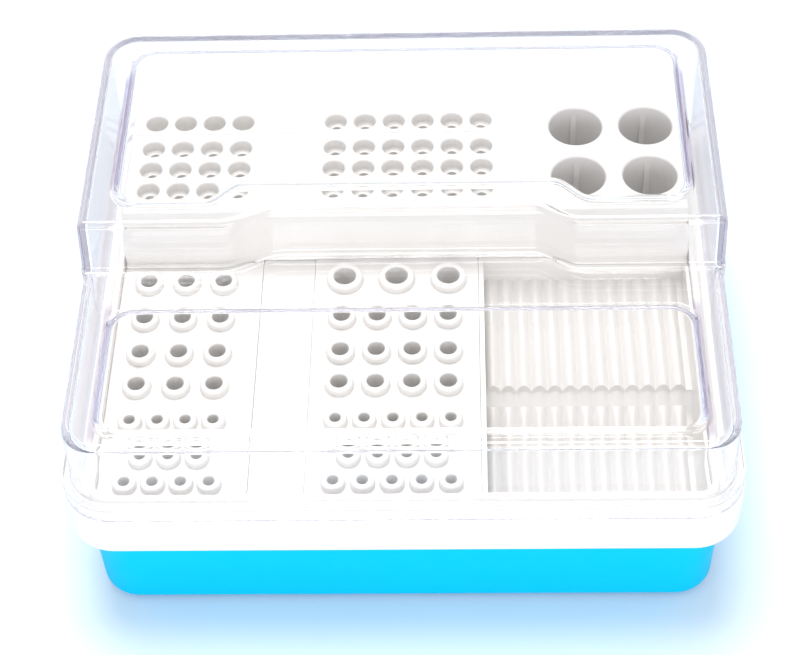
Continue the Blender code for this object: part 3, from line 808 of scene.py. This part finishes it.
def ribbed_trough(profile, x_range, top, rib):
    """The space above a trough floor, with round ribs that run from front to back and a flat edge."""
    columns = RIB_COUNT * RIB_COLUMNS + 1
    points = []
    for start, end in zip(profile, profile[1:]):
        steps = 1 if abs(end[0] - start[0]) < 2 else 6
        points += [[a + (b - a) * i / steps for a, b in zip(start, end)] for i in range(steps)]
    points.append(profile[-1])
    bm = bmesh.new()
    bmesh.ops.create_grid(bm, x_segments=columns, y_segments=len(points) - 1, size=1.0)
    for vert in bm.verts:
        column = round((vert.co.x + 1) / 2 * columns)
        y, z, share = points[round((1 - vert.co.y) / 2 * (len(points) - 1))]
        if column < columns:
            x = x_range[0] + RIB_PITCH * column / RIB_COLUMNS
            wave = 2 * abs(math.sin(math.pi * column / RIB_COLUMNS)) - 1
        else:
            x = x_range[1]
            wave = -1.0
        vert.co = (x, y, z + rib * share * wave)
    raised = bmesh.ops.extrude_face_region(bm, geom=bm.faces[:])
    for element in raised["geom"]:
        if isinstance(element, bmesh.types.BMVert):
            element.co.z = top
    return bm


def ribbed_tray():
    """Deep tray with two ribbed troughs, hollow underneath."""
    low, high = TRAY_LOW, TRAY_HIGH
    x_high, y_low = high.x + WALL_GAP, low.y - WALL_GAP
    radii = (RACK_FRONT_CORNER, BLOCK_CORNER, BLOCK_CORNER, BLOCK_CORNER)
    outline = rounded_rectangle(low.x - SEAM, x_high, y_low, high.y + SEAM, radii)
    step_low, step_high = TROUGH_STEP_Y
    under = []
    for y, z, _ in TROUGH:
        set_back = TROUGH_SKIN if step_low < y < step_high else 0.0
        under.append((y + set_back, z - TROUGH_SKIN - RIB_HEIGHT, 0.0))

    # Below its front lip the tray is set back, so that the lip can stand on the frame's ledge.
    kept = rounded_rectangle(low.x - 5, high.x + 5, low.y + TRAY_FRONT_LIP, high.y + 5, 0.5)
    trim = combine(
        prism(rounded_rectangle(0, 120, -100, 100, 1.0), 0.0, TRAY_LIP_UNDERSIDE),
        ("DIFFERENCE", prism(kept, -5.0, 60.0)),
    )
    return combine(
        slab(outline, low.z, high.z, BLOCK_EDGE),
        ("DIFFERENCE", trim),
        ("DIFFERENCE", ribbed_trough(TROUGH, TROUGH_X, high.z + 5, RIB_HEIGHT)),
        ("DIFFERENCE", ribbed_trough(under, TROUGH_UNDER_X, 0.0, 0.0)),
    )


# The clear cover.


def step_profile(z, rise, foot, top):
    """Edge profile (out, z) that rises in an S: a hollow foot radius, then a rounded top radius."""
    turn = math.acos(1 - rise / (foot + top))
    half = (foot + top) * math.sin(turn) / 2
    steep = math.degrees(turn)
    profile = [(half, z - 1.0), (half, z - 0.02)]
    profile += arc(half, z + foot, foot, 265, 270 - steep, 6)
    profile += arc(-half, z + rise - top, top, 90 - steep, 90, 6)[1:]
    return profile


def cover_form(inset):
    """The cover's outer form, or the space inside it when inset is the wall."""
    half_x, half_y = COVER_HALF[0] - inset, COVER_HALF[1] - inset
    corner = COVER_CORNER - inset
    fillet = TOP_FILLET - inset * 0.6
    low_top, high_top = LOW_TOP - inset, HIGH_TOP - inset
    bottom = COVER_LOW.z if inset == 0 else COVER_LOW.z - 5
    flange_top = FLANGE_TOP - inset
    edge = FLANGE_EDGE
    rim = centred(FLANGE_HALF[0] - inset, FLANGE_HALF[1] - inset, FLANGE_CORNER - inset)
    profile = [(-0.3, bottom), (0.0, bottom + 0.3)] + arc(-edge, flange_top - edge, edge, 0, 90)
    flange = moulding(rim, profile)
    wall_foot = COVER_DRAFT * (low_top - flange_top) + edge
    profile = [(wall_foot, flange_top - 2.0), (wall_foot, flange_top - 0.02)]
    profile += arc(wall_foot, flange_top + edge, edge, 265, 180)
    profile += arc(-fillet, low_top - fillet, fillet, 0, 90, 8)
    low = moulding(centred(half_x, half_y, corner), profile)

    # The high part stands a little further out, and has its own front: the riser.
    riser_fillet = RISER_FILLET + inset * 0.4
    high_x, high_y = HIGH_HALF[0] - inset, HIGH_HALF[1] - inset

    def high_outline(out, z):
        """Ring of the high part at height z, with a hollow fillet at the riser's foot."""
        height = max(z - low_top, 0.0)
        flare = 0.0
        if height < riser_fillet:
            flare = riser_fillet - math.sqrt(riser_fillet**2 - (riser_fillet - height) ** 2)
        front = RISER_FOOT_Y + inset + RISER_SLOPE * height - flare
        front_corner = max(RISER_CORNER - inset * 0.3 + out, LEAST_CORNER)
        radii = (front_corner, corner + out, corner + out, front_corner)
        ring = rounded_rectangle(-high_x - out, high_x + out, front - out, high_y + out, radii)
        return [(x, y, z) for x, y in scooped(ring, SCOOP_LEFT, SCOOP_RIGHT, SCOOP_DEPTH)]

    draft = COVER_DRAFT * 0.6
    heights = [flange_top - 0.4, low_top - 0.5]
    heights += [low_top + riser_fillet * share for share in (0.0, 0.08, 0.2, 0.4, 0.65, 1.0)]
    rings = [high_outline(draft * (high_top - z), z) for z in heights]
    for out, z in arc(-fillet, high_top - fillet, fillet, 0, 90, 8):
        rings.append(high_outline(out, z))
    high = loft(rings)

    panels = []
    radii = PANEL_INNER if inset else PANEL_OUTER
    shrink = inset * 0.4
    for z, (y_low, y_high) in ((high_top, HIGH_PANEL_Y), (low_top, LOW_PANEL_Y)):
        x = PANEL_HALF_X - shrink
        panel = rounded_rectangle(-x, x, y_low + shrink, y_high - shrink, PANEL_CORNER)
        if z == high_top:
            panel = scooped(panel, PANEL_SCOOP_LEFT, PANEL_SCOOP_RIGHT, PANEL_SCOOP_DEPTH)
        panels.append(moulding(panel, step_profile(z, PANEL_RISE, *radii)))
    return combine(low, ("UNION", flange), ("UNION", high), ("UNION", together(panels)))


def clear_cover():
    """The hollow cover."""
    return combine(cover_form(0.0), ("DIFFERENCE", cover_form(COVER_WALL)))


# Floor, light and camera.


def studio():
    """Plain pale floor, plain sky and two soft lamps."""
    floor_mesh = bpy.data.meshes.new("studio_floor")
    bm = bmesh.new()
    bmesh.ops.create_grid(bm, x_segments=2, y_segments=2, size=FLOOR_HALF)
    bm.to_mesh(floor_mesh)
    bm.free()
    floor = bpy.data.objects.new("studio_floor", floor_mesh)
    bpy.context.scene.collection.objects.link(floor)
    floor_mesh.materials.append(moulded_plastic("pale_floor", FLOOR_COLOURS, 0.6, 0.0))

    world = bpy.data.worlds.new("studio")
    bpy.context.scene.world = world
    world.use_nodes = True
    background = world.node_tree.nodes["Background"]
    background.inputs["Color"].default_value = (*SKY_COLOUR, 1.0)
    background.inputs["Strength"].default_value = SKY_STRENGTH

    for name, place, size, power in LAMPS:
        light = bpy.data.lights.new(name, "AREA")
        light.shape = "DISK"
        light.size = size
        light.energy = power
        lamp = bpy.data.objects.new(name, light)
        lamp.location = place
        aim = Vector(LAMP_TARGET) - Vector(place)
        lamp.rotation_euler = aim.to_track_quat("-Z", "Y").to_euler()
        bpy.context.scene.collection.objects.link(lamp)


def camera():
    """High three-quarter front view, a little to the right of the middle and slightly rolled."""
    place = Vector(CAMERA_PLACE)
    pitch, yaw, roll = (math.radians(angle) for angle in CAMERA_TURN)
    level = math.cos(pitch)
    forward = Vector((math.sin(yaw) * level, math.cos(yaw) * level, -math.sin(pitch)))
    right = Vector((math.cos(yaw), -math.sin(yaw), 0.0))
    up = right.cross(forward)
    right_rolled = right * math.cos(roll) + up * math.sin(roll)
    up_rolled = up * math.cos(roll) - right * math.sin(roll)
    data = bpy.data.cameras.new("camera")
    data.lens = CAMERA_LENS
    data.sensor_width = CAMERA_SENSOR
    data.clip_start = CAMERA_NEAR
    obj = bpy.data.objects.new("camera", data)
    columns = Matrix((right_rolled, up_rolled, -forward)).transposed()
    obj.matrix_world = Matrix.Translation(place) @ columns.to_4x4()
    bpy.context.scene.collection.objects.link(obj)
    bpy.context.scene.camera = obj


WHITE = moulded_plastic("white_gloss_plastic", WHITE_COLOURS, 0.34, 0.10, coat=0.15)
BLUE = moulded_plastic("blue_satin_plastic", BLUE_COLOURS, 0.45, 0.2, specular=0.05)
RUBBER = moulded_plastic("dark_rubber", RUBBER_COLOURS, 0.8, 0.5)
CLEAR = clear_plastic("clear_cover_plastic")

add_piece("blue_base_tray", base_tray(), BLUE, "base", "blue_base", "base_tray")
feet()
add_piece("white_rack_frame", rack_frame(), WHITE, "rack", "white_rack", "rack_frame")
add_piece("stepped_rear_deck", rear_deck(), WHITE, "rack", "white_rack", "rear_deck")
tube_cups()
left_block = socket_block(LEFT_LOW, LEFT_HIGH, RACK_FRONT_CORNER, WALL_GAP, LEFT_SOCKETS)
add_piece("left_socket_block", left_block, WHITE, "rack", "white_rack", "front_left_block")
strip_y = (STRIP_LOW.y - WALL_GAP, STRIP_HIGH.y + SEAM)
strip = rounded_rectangle(STRIP_LOW.x - SEAM, STRIP_HIGH.x + SEAM, *strip_y, BLOCK_CORNER)
strip = slab(strip, STRIP_LOW.z, STRIP_HIGH.z, BLOCK_EDGE)
add_piece("plain_centre_strip", strip, WHITE, "rack", "white_rack", "centre_strip")
centre_block = socket_block(CENTRE_LOW, CENTRE_HIGH, BLOCK_CORNER, SEAM, CENTRE_SOCKETS)
add_piece("centre_socket_block", centre_block, WHITE, "rack", "white_rack", "front_centre_block")
add_piece("ribbed_instrument_tray", ribbed_tray(), WHITE, "rack", "white_rack", "ribbed_tray")
add_piece("clear_stepped_cover", clear_cover(), CLEAR, "cover", "clear_cover", "clear_cover")

studio()
camera()
scene = bpy.context.scene
scene.view_settings.view_transform = "Standard"
scene.cycles.max_bounces = BOUNCES
scene.cycles.transmission_bounces = BOUNCES
scene.cycles.transparent_max_bounces = CLEAR_BOUNCES
scene.cycles.glossy_bounces = BOUNCES
